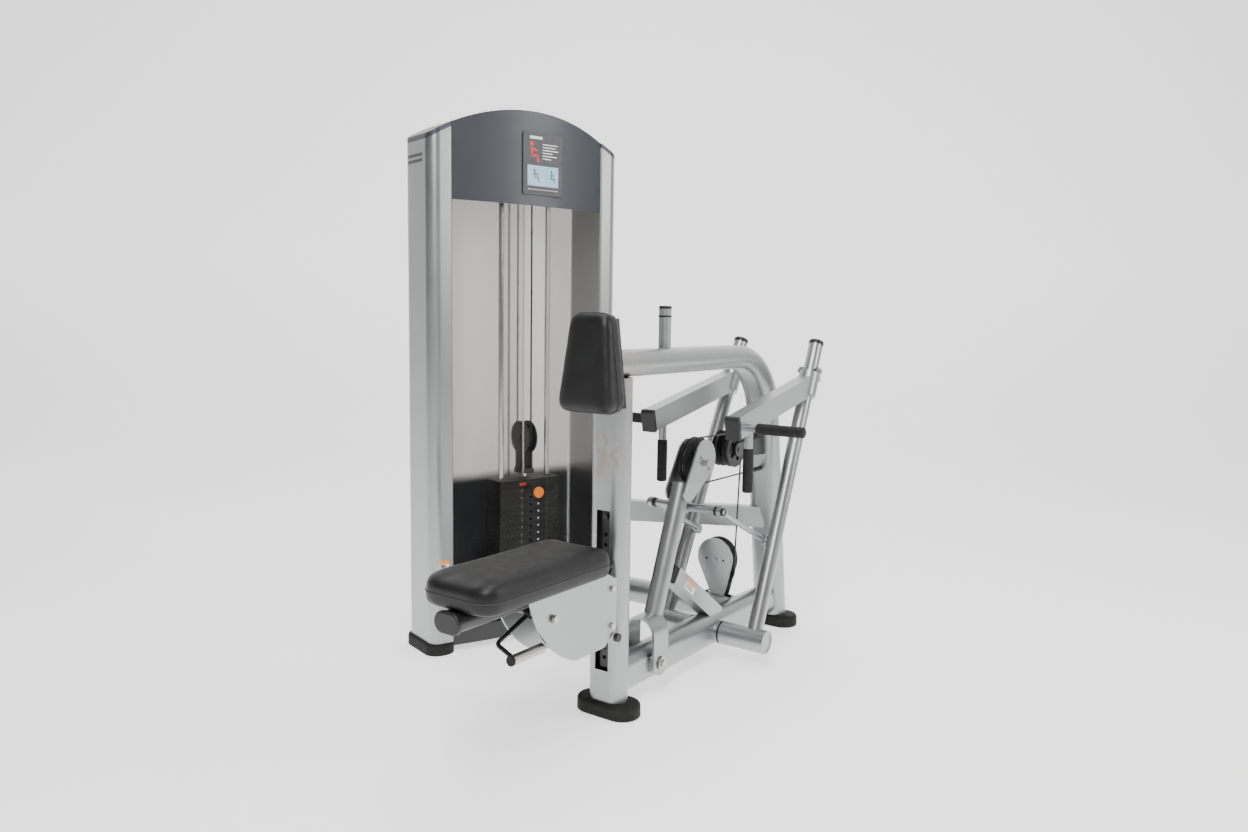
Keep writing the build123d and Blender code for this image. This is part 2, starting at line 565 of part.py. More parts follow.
def make_lever():
    """Yoke over the beam, lever tube, crossbar and pulley plates."""
    outer, legs = YOKE_IN + YOKE_T, YOKE_TOP - YOKE_IN - YOKE_T
    def band(half):
        head = Pos(LEV_X, 0, legs) * Rot(0, 90, 0) * Cylinder(half, YOKE_W)
        return head + block(LEV_X - YOKE_W / 2, LEV_X + YOKE_W / 2, -half, half, LEV_Z - 60, legs)
    yoke = band(outer) - band(YOKE_IN)
    trim = block(LEV_X - YOKE_W / 2, LEV_X + YOKE_W / 2, -90, 90, LEV_Z, 300)
    yoke = yoke & (trim + ring_y(LEV_X, LEV_Z, -90, 90, YOKE_W / 2))
    yoke = yoke - lever_bar(LEV_TUBE_R) - ring_y(LEV_X, LEV_Z, -90, 90, 15.05)
    tube = lever_bar(LEV_TUBE_R) - rod(
        (LEV_FOOT[0] + 3, 0, LEV_FOOT[1] + 8), (LEV_HEAD[0] - 3, 0, LEV_HEAD[1] - 8), LEV_TUBE_R - 4)
    washers = [ring_y(LEV_X, LEV_Z, s * 59, s * 62, 20) for s in (-1, 1)]
    heads = [hex_head((LEV_X, s * 62, LEV_Z), (0, s, 0), 22, 8) for s in (-1, 1)]
    spindle = ring_y(ARM_X, ARM_Z, -190, 190, SPINDLE_R)
    retainer = ring_y(ARM_X, ARM_Z, 190, 194, 28) + hex_head((ARM_X, 194, ARM_Z), (0, 1, 0), 24, 9)
    shaft = ring_y(LEV_X, LEV_Z, -59, 59, 15)
    keep("hub_shafts", shaft, *[w + h for w, h in zip(washers, heads)], spindle, retainer, mirror_y(retainer))
    bar = ring_y(BAR_X, BAR_Z, -BAR_HALF, BAR_HALF, BAR_R)
    lug = block(BAR_X - 40, BAR_X, -14, 14, BAR_Z - 16, BAR_Z + 16)
    bar += (lug - lever_bar(LEV_TUBE_R)).solids().sort_by(Axis.X)[-1]
    stud = ring_y(BAR_X, BAR_Z, BAR_HALF, LINK_Y + 12, 8)
    keep("lever_frame", yoke + tube + bar + stud + mirror_y(stud))
    make_lever_plates()


def make_lever_plates():
    """The two side plates that carry the lever pulley."""
    lx, lz, _ = LEV_PULLEY
    ux, uz = LEV_HEAD[0] - LEV_FOOT[0], LEV_HEAD[1] - LEV_FOOT[1]
    span = hypot(ux, uz)
    tail = (LEV_HEAD[0] - 26 * ux / span, LEV_HEAD[1] - 26 * uz / span)
    plates = []
    for s in (-1, 1):
        outline = teardrop(lx + 4, lz + 12, 62, tail, 30)
        y0, y1 = sorted((s * PULL_Y, s * (PULL_Y + PULL_T)))
        plate = xz_plate(outline, y0, y1) - ring_y(lx, lz, -60, 60, 8)
        plate -= [ring_y(lx + k * 26, lz - k * 21, -60, 60, 4.5) for k in (-1, 1)]
        plates.append(plate)
    heads = [hex_head((lx, s * 44, lz), (0, s, 0), 20, 6) for s in (-1, 1)]
    keep("lever_pulley_plates", *plates, ring_y(lx, lz, -44, 44, 8) + heads[0] + heads[1])


def make_link():
    """A link rod with an eye at each end, on the +Y side."""
    y0, y1 = LINK_Y - LINK_RING_W / 2, LINK_Y + LINK_RING_W / 2
    end = (LINK_END[0], LINK_Y, LINK_END[1])
    start = (BAR_X, LINK_Y, BAR_Z)
    body = rod(start, end, 9)
    body += ring_y(BAR_X, BAR_Z, y0, y1, LINK_RING_R) + ring_y(*LINK_END, y0, y1, LINK_RING_R)
    return body - ring_y(BAR_X, BAR_Z, y0 - 5, y1 + 5, 8.05)


def make_links():
    """Both links and the studs at the ends of the crossbar."""
    link = make_link()
    keep("link_rod_left", link)
    keep("link_rod_right", mirror_y(link))
    nut = ring_y(BAR_X, BAR_Z, LINK_Y + 9, LINK_Y + 14, 13, 8)
    cap = fillet(nut.edges().group_by(Axis.Y)[-1], 1.5)
    seal = ring_y(BAR_X, BAR_Z, BAR_HALF - 8, BAR_HALF - 1, 15.5, BAR_R)
    keep("crossbar_ends", cap, mirror_y(cap), seal, mirror_y(seal))


# ================================================================ rowing arms
def arm_point(z):
    """Centre of the +Y arm tube at height z."""
    k = (z - ARM_Z) / (ARM_TOP[1] - ARM_Z)
    return (ARM_X + k * (ARM_TOP[0] - ARM_X), ARM_FOOT_Y + k * (ARM_TOP_Y - ARM_FOOT_Y), z)


def make_arm_tube():
    """Hub tube, arm tube and link pin of the +Y arm, welded together."""
    hub_bar = ring_y(ARM_X, ARM_Z, HUB_Y0, HUB_Y1, HUB_R)
    tube = pipe(arm_point(ARM_Z), arm_point(ARM_TOP[1]), ARM_R, ARM_R - 3.5) - hub_bar
    inner = rod(arm_point(300), arm_point(500), ARM_R - 1)
    pin = ring_y(*LINK_END, LINK_Y + LINK_RING_W / 2 + 2, arm_point(LINK_END[1])[1], 10) - inner
    welded = ring_y(ARM_X, ARM_Z, HUB_Y0, HUB_Y1, HUB_R, HUB_IN) + tube.solids().sort_by(Axis.Z)[-1]
    return welded + pin.solids().sort_by(Axis.Y)[0]


def forearm_frame():
    """Root and direction of the forearm."""
    root = arm_point((COLLAR_Z0 + COLLAR_Z1) / 2)
    return root, (Vector(*FORE_END) - Vector(*root)).normalized()


def make_forearm():
    """The collar that clamps on the arm tube, the forearm and the two grip stems, welded together."""
    root, _ = forearm_frame()
    collar_bar = rod(arm_point(COLLAR_Z0), arm_point(COLLAR_Z1), COLLAR_R)
    tube_bar = rod(arm_point(COLLAR_Z0 - 90), arm_point(COLLAR_Z1 + 90), ARM_R)
    ears = []
    a = arm_point(COLLAR_Z1)
    for s in (-1, 1):
        ears.append(block(a[0] - 12, a[0] + 12, a[1] + s * 30, a[1] + s * 36, COLLAR_Z1 - 30, COLLAR_Z1 + 22))
        ears.append(ring_y(a[0], COLLAR_Z1 + 8, a[1] + s * 36, a[1] + s * 44, 8))
    fore_bar = box_bar(root, FORE_END, FORE_W, FORE_H)
    fore = fore_bar - box_bar(root, FORE_END, FORE_W - 7, FORE_H - 7) - collar_bar - tube_bar
    y = FORE_END[1]
    down = rod((DOWN_GRIP_X, DOWN_GRIP_Y, DOWN_GRIP_TOP - 40), (DOWN_GRIP_X, DOWN_GRIP_Y, FORE_END[2]), 13) - fore_bar
    side = rod((OUT_GRIP_X, y, OUT_GRIP_Z), (OUT_GRIP_X, OUT_GRIP_Y0 + 40, OUT_GRIP_Z), 12) - fore_bar
    stems = [down.solids().sort_by(Axis.Z)[0], side.solids().sort_by(Axis.Y)[-1]]
    return (collar_bar + ears - tube_bar) + fore.solids().sort_by(Axis.X)[0] + stems, stems


def make_arm():
    """Pieces of the +Y rowing arm, by name."""
    forearm, stems = make_forearm()
    pieces = {"arm_tube": [make_arm_tube()], "forearm": [forearm]}
    cap = rod(arm_point(ARM_TOP[1]), arm_point(ARM_TOP[1] + 14), ARM_R + 1)
    _, along = forearm_frame()
    end_cap = box_bar(FORE_END, Vector(*FORE_END) + along * 14, FORE_W + 3, FORE_H + 4)
    pieces["arm_caps"] = [fillet(cap.edges().group_by(Axis.Z)[-1], 4), fillet(end_cap.edges().group_by(Axis.X)[0], 11)]
    pieces["arm_caps"].append(ring_y(ARM_X, ARM_Z, HUB_Y1 - 7, HUB_Y1 - 2, HUB_IN))
    pieces["arm_bushes"] = [ring_y(ARM_X, ARM_Z, y, y + 25, HUB_IN, SPINDLE_R + 0.05)
                            for y in (HUB_Y0 + 6, HUB_Y1 - 62)]
    x, y = DOWN_GRIP_X, DOWN_GRIP_Y
    down = rod((x, y, DOWN_GRIP_TOP - DOWN_GRIP_LEN), (x, y, DOWN_GRIP_TOP), GRIP_R)
    side = rod((OUT_GRIP_X, OUT_GRIP_Y0, OUT_GRIP_Z), (OUT_GRIP_X, OUT_GRIP_Y1, OUT_GRIP_Z), GRIP_R)
    pieces["grips"] = [fillet(g.edges().filter_by(GeomType.CIRCLE), 6) - stem for g, stem in zip((down, side), stems)]
    return pieces


def make_arms():
    """Both rowing arms and the seals of their hubs."""
    for name, solids in make_arm().items():
        keep(f"{name}_left", *solids)
        keep(f"{name}_right", *[mirror_y(s) for s in solids])
    seal = ring_y(ARM_X, ARM_Z, 53, 59.5, HUB_R - 1, SPINDLE_R)
    keep("hub_seals", seal, mirror_y(seal))


# ================================================================ chest pad
def make_pad():
    """The chest pad, its board and the bracket on the front post."""
    front_lo = PAD_X_BACK - PAD_T_LO
    front_hi = PAD_X_BACK - PAD_T_HI
    side = Plane.XZ * make_face(Polyline((PAD_X_BACK, PAD_Z0), (PAD_X_BACK, PAD_Z1), (front_hi, PAD_Z1),
                                         (front_lo, PAD_Z0), close=True))
    pad = extrude(side, 120, both=True)
    face = Plane.YZ * make_face(Polyline((-PAD_HALF_LO, PAD_Z0), (PAD_HALF_LO, PAD_Z0), (PAD_HALF_HI, PAD_Z1),
                                         (-PAD_HALF_HI, PAD_Z1), close=True))
    pad = pad & extrude(face, 400, both=True)
    ends = [e for e in pad.edges() if e.bounding_box().size.X > 40]
    pad = fillet(ends, 30)
    pad = fillet(pad.edges().group_by(Axis.X)[0], 18)
    keep("chest_pad", pad)
    board = Plane.YZ * make_face(Polyline((-PAD_HALF_LO + 14, PAD_Z0 + 14), (PAD_HALF_LO - 14, PAD_Z0 + 14),
                                          (PAD_HALF_HI - 12, PAD_Z1 - 14), (-PAD_HALF_HI + 12, PAD_Z1 - 14),
                                          close=True))
    board = extrude(Pos(PAD_X_BACK + 0.3, 0, 0) * board, 12)
    x0 = PAD_X_BACK + 12.3
    bracket = block(x0, x0 + 6, -45, 45, 905, 975)
    bracket += block(x0, -TUBE_D / 2, -30, 30, 920, 960) - post_bar()
    bolts = [rod((x0 + 6, s * 38, 940), (x0 + 12, s * 38, 940), 8) for s in (-1, 1)]
    keep("chest_pad_mount", board, max(bracket.solids(), key=lambda s: s.volume), *bolts)


# ================================================================ seat
def make_seat():
    """Seat cushion, support tube, sliding carriage, rack and release handle."""
    long, mid = SEAT_X1 - SEAT_X0, (SEAT_X0 + SEAT_X1) / 2
    plan = Pos(mid, 0, SEAT_Z0) * RectangleRounded(long, 2 * SEAT_HALF, 52)
    seat = extrude(plan, SEAT_Z1 - SEAT_Z0)
    seat = fillet(seat.edges().group_by(Axis.Z)[-1], 24)
    seat = fillet(seat.edges().group_by(Axis.Z)[0], 6)
    keep("seat_cushion", seat)
    tz = SEAT_Z0 - 0.4 - SEAT_TUBE_H / 2
    section = Plane(origin=(SEAT_X0 - 4, 0, tz), x_dir=(0, 1, 0), z_dir=(1, 0, 0))
    tube = extrude(section * SlotOverall(SEAT_TUBE_W, SEAT_TUBE_H), 570)
    tube -= extrude(section * SlotOverall(SEAT_TUBE_W - 7, SEAT_TUBE_H - 7), 570)
    keep("seat_tube", tube)
    cap = extrude(section * SlotOverall(SEAT_TUBE_W + 4, SEAT_TUBE_H + 8), -13)
    keep("seat_tube_cap", fillet(cap.edges().group_by(Axis.X)[0], 5))
    make_carriage(tube)
    make_release()


def carriage_outline():
    """Side plate outline in X and Z: straight top and post edge, rounded belly."""
    top, low = SEAT_Z0 - 2, 236
    a, b, c = (-424, top), (CARR_X1 - 12, top - 34), (CARR_X1 - 12, low + 34)
    d, e = (-110, low), (-235, low)
    return [Line(a, (-120, top)), Line((-120, top), b), Line(b, c), Line(c, d), Line(d, e),
            ThreePointArc(e, (-352, 312), a)]


def make_carriage(tube):
    """The carriage that slides on the post."""
    sides = []
    seat_pin = ring_y(*SEAT_BOLT, -70, 70, 7)
    for s in (-1, 1):
        y0, y1 = sorted((s * CARR_Y, s * (CARR_Y + CARR_T)))
        sides.append(xz_plate(carriage_outline(), y0, y1) - seat_pin)
    x1 = CARR_X1
    web = block(x1 - 12, x1, -CARR_Y, CARR_Y, 270, 420)
    shelf = block(x1 - 60, x1 - 12, -CARR_Y, CARR_Y, SEAT_Z0 - 100, SEAT_Z0 - 60)
    saddles = [block(-300, -150, s * 41.5, s * CARR_Y, SEAT_Z0 - 44, SEAT_Z0 - 6) for s in (-1, 1)]
    guide = block(x1 - 1, -TUBE_D / 2 + 8, -17, 17, 275, 418)
    keep("seat_carriage", *sides, web + guide, shelf, *[s - tube for s in saddles])
    bolts = [ring_y(x1 - 30, z, s * (CARR_Y + CARR_T), s * (CARR_Y + CARR_T + 7), 9)
             for s in (-1, 1) for z in (395, 290)]
    pin = ring_y(*SEAT_BOLT, -66, 66, 7)
    heads = [hex_head((SEAT_BOLT[0], s * 66, SEAT_BOLT[1]), (0, s, 0), 20, 7) for s in (-1, 1)]
    knob = ring_y(x1 - 11, 252, -CARR_Y - CARR_T - 13, -CARR_Y - CARR_T, 12)
    roller = block(x1 - 17.5, x1 - 1, -46, -24, 420, 456)
    roller = fillet(roller.edges().filter_by(Axis.Y).group_by(Axis.Z)[-1], 5)
    roller += ring_y(x1 - 9, 440, -49, -46, 6)
    keep("seat_fasteners", pin + heads[0] + heads[1], *bolts, knob, roller)
    rack_x = -TUBE_D / 2 + 14
    rack = block(rack_x, rack_x + 10, -16, 16, SLOT_LO + 5, SLOT_HI - 4)
    rack -= [rod((rack_x - 5, 0, z), (rack_x + 15, 0, z), 6) for z in range(SLOT_LO + 35, SLOT_HI - 60, 30)]
    rack_spacer = [block(rack_x + 10, TUBE_D / 2 - TUBE_WALL, -10, 10, z, z + 20) for z in (SLOT_LO + 10, SLOT_HI - 30)]
    keep("seat_rack", rack + rack_spacer, hex_head((rack_x, 0, SLOT_HI - 20), (-1, 0, 0), 16, 6))


def make_release():
    """The release handle under the seat: bent rod, grip tube and its cap."""
    x, z = SEAT_BOLT
    eye = ring_y(x, z, 12, 28, 15, 7.05)
    path = FilletPolyline((x - 12, SEAT_PIN_Y, z - 6), (-455, SEAT_PIN_Y, 326), (-455, -42, 300), radius=14)
    bar = sweep(Plane(origin=(x - 12, SEAT_PIN_Y, z - 6), z_dir=(-455 - x + 12, 0, 326 - z + 6)) * Circle(6), path=path)
    grip = rod((-466, -42, 300), (-352, -42, 300), 13)
    handle = (bar + eye) - ring_y(x, z, 0, 40, 7.05) - grip
    keep("release_handle", max(handle.solids(), key=lambda s: s.volume))
    keep("release_grip", grip, rod((-466, -42, 300), (-472, -42, 300), 13.5))


make_frame()
make_stop()
make_braces()
make_tower_shell()
make_tower_frame()
make_stack()
make_selector_pin()
make_pulleys()
make_cable()
make_lever()
make_links()
make_arms()
make_pad()
make_seat()

for node, solids in NODES.items():
    export_step(solids[0] if len(solids) == 1 else Compound(children=solids), f"parts/{node}.step")
print(len(NODES), "nodes,", sum(len(s) for s in NODES.values()), "solids")
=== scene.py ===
import json
import math

import bmesh
import bpy
import numpy as np
from mathutils import Matrix, Vector


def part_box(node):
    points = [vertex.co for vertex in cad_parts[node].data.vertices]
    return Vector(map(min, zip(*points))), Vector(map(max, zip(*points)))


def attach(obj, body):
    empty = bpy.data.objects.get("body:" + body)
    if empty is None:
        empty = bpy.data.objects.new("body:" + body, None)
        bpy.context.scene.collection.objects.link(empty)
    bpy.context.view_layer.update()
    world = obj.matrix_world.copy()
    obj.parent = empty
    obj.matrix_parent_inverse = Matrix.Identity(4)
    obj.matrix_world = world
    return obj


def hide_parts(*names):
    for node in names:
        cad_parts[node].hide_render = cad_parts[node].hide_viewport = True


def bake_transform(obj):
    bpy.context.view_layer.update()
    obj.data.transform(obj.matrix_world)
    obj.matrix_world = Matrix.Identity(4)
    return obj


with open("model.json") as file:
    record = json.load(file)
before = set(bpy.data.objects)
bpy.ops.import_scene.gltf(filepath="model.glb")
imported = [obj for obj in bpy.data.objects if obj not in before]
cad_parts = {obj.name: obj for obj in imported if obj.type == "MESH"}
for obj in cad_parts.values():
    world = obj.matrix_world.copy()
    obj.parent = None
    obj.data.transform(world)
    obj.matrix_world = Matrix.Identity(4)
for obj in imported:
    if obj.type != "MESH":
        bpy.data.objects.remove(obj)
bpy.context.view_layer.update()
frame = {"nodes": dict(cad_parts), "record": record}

# Looks of the seated row machine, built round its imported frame. Metres, in the CAD frame.
TOWER_AT = Vector((0.3555, 0.623, 0))            # middle of the tower's front, on the floor
YAW = math.radians(-16.5)                        # the tower is turned this far from the frame
ACROSS = Vector((math.cos(YAW), math.sin(YAW), 0))
BACK = Vector((-math.sin(YAW), math.cos(YAW), 0))
UP = Vector((0, 0, 1))
STACK_ACROSS = 0.012                             # the stack stands this far right of the middle
PLATES, PLATE_PITCH, PLATE_MID = 16, 0.026, 0.1365   # with the top plate; height of the lowest one's middle
PAINT = (0.37, 0.375, 0.38)
SLATE = (0.050, 0.053, 0.062)


# ================================================================ materials
class Shader:
    """One node material, with small helpers for its procedural detail."""

    def __init__(self, name, color, rough=0.5, metal=0.0, **more):
        self.mat = bpy.data.materials.new(name)
        self.mat.use_nodes = True
        self.tree = self.mat.node_tree
        self.bsdf = self.tree.nodes["Principled BSDF"]
        self.set("Base Color", (*color, 1))
        self.set("Roughness", rough)
        self.set("Metallic", metal)
        for key, value in more.items():
            self.set(key.replace("_", " "), value)
        self.coord = self.tree.nodes.new("ShaderNodeTexCoord").outputs["Object"]
        self.normal = None

    def set(self, socket, value):
        self.bsdf.inputs[socket].default_value = value

    def link(self, a, b):
        self.tree.links.new(a, b)

    def noise(self, scale, detail=4, stretch=None):
        node = self.tree.nodes.new("ShaderNodeTexNoise")
        node.inputs["Scale"].default_value = scale
        node.inputs["Detail"].default_value = detail
        source = self.coord
        if stretch:
            mapping = self.tree.nodes.new("ShaderNodeMapping")
            mapping.inputs["Scale"].default_value = stretch
            self.link(source, mapping.inputs["Vector"])
            source = mapping.outputs["Vector"]
        self.link(source, node.inputs["Vector"])
        return node.outputs["Fac"]

    def voronoi(self, scale):
        node = self.tree.nodes.new("ShaderNodeTexVoronoi")
        node.inputs["Scale"].default_value = scale
        self.link(self.coord, node.inputs["Vector"])
        return node.outputs["Distance"]

    def ramp(self, fac, stops):
        node = self.tree.nodes.new("ShaderNodeValToRGB")
        points = node.color_ramp.elements
        while len(points) < len(stops):
            points.new(0.5)
        for point, (pos, color) in zip(points, stops):
            point.position = pos
            point.color = (*color, 1) if len(color) == 3 else (color[0],) * 3 + (1,)
        self.link(fac, node.inputs["Fac"])
        return node.outputs["Color"]

    def span(self, fac, low, high):
        node = self.tree.nodes.new("ShaderNodeMapRange")
        node.inputs["To Min"].default_value = low
        node.inputs["To Max"].default_value = high
        self.link(fac, node.inputs["Value"])
        return node.outputs["Result"]

    def math(self, operation, a, b):
        node = self.tree.nodes.new("ShaderNodeMath")
        node.operation = operation
        node.use_clamp = True
        self.link(a, node.inputs[0])
        self.link(b, node.inputs[1])
        return node.outputs[0]

    def bump(self, height, strength, distance):
        node = self.tree.nodes.new("ShaderNodeBump")
        node.inputs["Strength"].default_value = strength
        node.inputs["Distance"].default_value = distance
        self.link(height, node.inputs["Height"])
        if self.normal is not None:
            self.link(self.normal, node.inputs["Normal"])
        self.normal = node.outputs["Normal"]
        self.link(self.normal, self.bsdf.inputs["Normal"])

    def color(self, output):
        self.link(output, self.bsdf.inputs["Base Color"])

    def rough(self, output):
        self.link(output, self.bsdf.inputs["Roughness"])

    def wear(self, base, edge_color, sharp=0.62):
        """Lighter worn edges over a colour output."""
        geometry = self.tree.nodes.new("ShaderNodeNewGeometry")
        mix = self.tree.nodes.new("ShaderNodeMix")
        mix.data_type = "RGBA"
        mask = self.ramp(geometry.outputs["Pointiness"], [(0.0, (0,)), (sharp, (0,)), (1.0, (1,))])
        self.link(mask, mix.inputs["Factor"])
        self.link(base, mix.inputs["A"])
        mix.inputs["B"].default_value = (*edge_color, 1)
        self.color(mix.outputs["Result"])


def tint(color, k):
    """A colour made k times as bright."""
    return tuple(min(1, c * k) for c in color)


def paint(name, color, rough=0.36, metal=1.0):
    """Powder-coated metallic paint: fine flake, faint orange peel, uneven gloss and worn edges."""
    s = Shader(name, color, rough, metal, Coat_Weight=0.25, Coat_Roughness=0.25)
    flake = s.ramp(s.noise(900, 2), [(0.35, tint(color, 0.93)), (0.65, tint(color, 1.06))])
    s.wear(flake, tint(color, 1.25), 0.7)
    s.rough(s.span(s.noise(9, 5), rough - 0.07, rough + 0.1))
    s.bump(s.noise(420, 3), 0.06, 0.0006)
    return s.mat


def worn_paint():
    """The same paint, rubbed through round two spots: the front of the post and the top tube's front end."""
    s = Shader("worn_paint", PAINT, 0.37, 1.0, Coat_Weight=0.2, Coat_Roughness=0.3)
    flake = s.ramp(s.noise(900, 2), [(0.35, tint(PAINT, 0.93)), (0.65, tint(PAINT, 1.06))])
    scuffs = s.ramp(s.noise(70, 9, (1, 1, 0.5)), [(0.44, (0,)), (0.60, (1,))])
    total = None
    for centre, reach in (((-0.04, 0.0, 0.755), 0.085), ((0.0, 0.0, 0.985), 0.14)):
        away = s.tree.nodes.new("ShaderNodeVectorMath")
        away.operation = "DISTANCE"
        s.link(s.coord, away.inputs[0])
        away.inputs[1].default_value = centre
        near = s.span(away.outputs["Value"], 1, 0)
        near.node.inputs["From Min"].default_value = reach * 0.4
        near.node.inputs["From Max"].default_value = reach
        total = near if total is None else s.math("MAXIMUM", total, near)
    mask = s.math("MULTIPLY", scuffs, total)
    mix = s.tree.nodes.new("ShaderNodeMix")
    mix.data_type = "RGBA"
    s.link(mask, mix.inputs["Factor"])
    s.link(flake, mix.inputs["A"])
    mix.inputs["B"].default_value = (0.30, 0.27, 0.23, 1)
    s.color(mix.outputs["Result"])
    whole = s.span(total, 1, 1)                  # one everywhere, as a socket
    s.link(s.math("SUBTRACT", whole, mask), s.bsdf.inputs["Metallic"])
    s.rough(s.span(s.noise(30, 6), 0.32, 0.48))
    s.bump(s.noise(420, 3), 0.06, 0.0006)
    return s.mat


def vinyl():
    """Black vinyl with a fine leather grain."""
    s = Shader("vinyl", (0.006, 0.006, 0.006), 0.40, 0.0, Specular_IOR_Level=0.38)
    s.color(s.ramp(s.noise(14, 5), [(0.3, (0.004, 0.004, 0.0045)), (0.7, (0.009, 0.009, 0.0095))]))
    s.rough(s.span(s.noise(40, 5), 0.36, 0.52))
    s.bump(s.voronoi(650), 0.22, 0.0005)
    return s.mat


def rubber(name="rubber", rough=0.7, pits=500):
    """Black rubber, slightly dusty and finely pitted."""
    s = Shader(name, (0.008, 0.008, 0.008), rough, Specular_IOR_Level=0.3)
    s.color(s.ramp(s.noise(25, 6), [(0.3, (0.006, 0.006, 0.006)), (0.75, (0.014, 0.014, 0.013))]))
    s.rough(s.span(s.noise(60, 4), rough - 0.1, rough + 0.12))
    s.bump(s.noise(pits, 3), 0.15, 0.0005)
    return s.mat


def foam_grip():
    """Ribbed black rubber of the grips."""
    s = Shader("grip_rubber", (0.008, 0.008, 0.008), 0.62, Specular_IOR_Level=0.3)
    s.color(s.ramp(s.noise(90, 5), [(0.3, (0.005, 0.005, 0.005)), (0.7, (0.012, 0.012, 0.012))]))
    s.bump(s.voronoi(420), 0.35, 0.0008)
    return s.mat


def plastic(name, color, rough=0.4):
    """Moulded plastic, or print, with faint tone and gloss changes."""
    s = Shader(name, color, rough)
    s.color(s.ramp(s.noise(30, 4), [(0.3, tint(color, 0.9)), (0.7, tint(color, 1.12))]))
    s.rough(s.span(s.noise(70, 4), rough - 0.06, rough + 0.08))
    s.bump(s.noise(700, 2), 0.05, 0.0003)
    return s.mat


def brushed(name, color, rough, along=(1, 1, 40)):
    """Bare steel with drawn lines."""
    s = Shader(name, color, rough, 1.0)
    s.color(s.ramp(s.noise(60, 4, along), [(0.3, tint(color, 0.85)), (0.7, tint(color, 1.1))]))
    s.rough(s.span(s.noise(120, 3, along), rough * 0.7, rough * 1.4))
    return s.mat


def cast_iron():
    """Rough black iron of the weight plates."""
    s = Shader("plate_iron", (0.02, 0.02, 0.021), 0.5, 0.3)
    s.color(s.ramp(s.noise(40, 6), [(0.3, (0.006, 0.006, 0.006)), (0.7, (0.014, 0.014, 0.0145))]))
    s.bump(s.noise(300, 5), 0.3, 0.0008)
    return s.mat


def frosted(name, color, rough=0.2):
    """Frosted acrylic sheet: lets light through and blurs what stands behind it."""
    s = Shader(name, color, rough, 0.0, Transmission_Weight=1.0, IOR=1.12, Specular_IOR_Level=0.4)
    s.color(s.ramp(s.noise(1.6, 3), [(0.3, tint(color, 0.96)), (0.7, tint(color, 1.02))]))
    s.rough(s.span(s.noise(6, 4), rough - 0.03, rough + 0.03))
    return s.mat


def rear_sheet_painted_shadow():
    """Rear cover of the tower: painted shadow of the weight stack, dark and opaque up to the stack's height;
    pale and see-through above it.
    """
    s = Shader("rear_sheet_painted_shadow", (0.6, 0.59, 0.57), 0.4)
    split = s.tree.nodes.new("ShaderNodeSeparateXYZ")
    s.link(s.coord, split.inputs[0])
    level = s.span(split.outputs["Z"], 0, 1)
    level.node.inputs["From Min"].default_value = 0.50
    level.node.inputs["From Max"].default_value = 0.62
    # Near-black and opaque below the stack's top: painted shadow of the weight stack on the cover, not the
    # sheet's own colour.
    s.color(s.ramp(level, [(0.35, (0.020, 0.021, 0.024)), (0.65, (0.66, 0.64, 0.61))]))
    s.link(s.ramp(level, [(0.35, (1.0,)), (0.65, (0.55,))]), s.bsdf.inputs["Alpha"])
    s.rough(s.span(s.noise(6, 4), 0.3, 0.5))
    return s.mat


def floor_material():
    """Plain pale floor and wall."""
    s = Shader("floor", (0.93, 0.93, 0.92), 0.75)
    s.color(s.ramp(s.noise(0.6, 3), [(0.3, (0.92, 0.92, 0.91)), (0.7, (0.94, 0.94, 0.93))]))
    s.set("Emission Color", (1, 1, 1, 1))
    s.set("Emission Strength", 0.95)
    return s.mat


M = {
    "paint": paint("silver_paint", PAINT),
    "worn": worn_paint(),
    "slate": paint("slate_paint", SLATE, 0.40, 0.35),
    "black_paint": paint("black_paint", (0.010, 0.010, 0.011), 0.45, 0.0),
    "vinyl": vinyl(),
    "rubber": rubber(),
    "grip": foam_grip(),
    "plastic": plastic("black_plastic", (0.008, 0.008, 0.0085), 0.45),
    "orange": plastic("orange_plastic", (0.80, 0.17, 0.0), 0.5),
    "steel": brushed("bare_steel", (0.52, 0.51, 0.49), 0.35),
    "chrome": brushed("bright_steel", (0.75, 0.75, 0.75), 0.16, (1, 1, 0.05)),
    "iron": cast_iron(),
    "frosted": frosted("frosted_sheet", (0.88, 0.87, 0.86), 0.22),
    "rear_sheet_painted_shadow": rear_sheet_painted_shadow(),
    "cable": plastic("cable_jacket", (0.012, 0.012, 0.012), 0.28),
    "white": plastic("white_print", (0.78, 0.78, 0.76), 0.5),
    "red": plastic("red_print", (0.62, 0.03, 0.025), 0.45),
    "blue": plastic("blue_print", (0.35, 0.55, 0.68), 0.4),
    "label_orange": plastic("orange_label", (0.85, 0.28, 0.04), 0.5),
    "dark_print": plastic("dark_print", (0.03, 0.03, 0.035), 0.35),
    "thread": plastic("seam_thread", (0.022, 0.022, 0.022), 0.6),
}

NODE_LOOK = {
    "grey_paint": "slate", "frosted_sheet": "frosted", "panel_paint": "black_paint",
    "black_steel": "black_paint", "black_plastic": "plastic", "black_rubber": "rubber",
    "black_vinyl": "vinyl", "iron": "iron", "chrome": "chrome", "steel": "steel",
    "orange": "orange", "placard": "dark_print", "cable_jacket": "cable", "frame_paint": "paint",
}


def tower_coords(p):
    """Across and back of a world point in the tower's own coordinates."""
    rel = Vector(p) - TOWER_AT
    return rel.dot(ACROSS), rel.dot(BACK)


def at_tower(t, d, z):
    """World point from tower coordinates in metres: across, back, up."""
    return TOWER_AT + UP * z + ACROSS * t + BACK * d


def two_looks(node, look, wanted):
    """Give the wanted faces of a CAD node a second material."""
    data = frame["nodes"][node].data
    data.materials.append(M[look])
    for face in data.polygons:
        face.material_index = int(wanted(face.center))


def is_small_plastic(c):
    """Faces of the carriage's knob and roller block, next to the post."""
    return c.x > -0.071 and (c.z > 0.415 or c.z < 0.268)


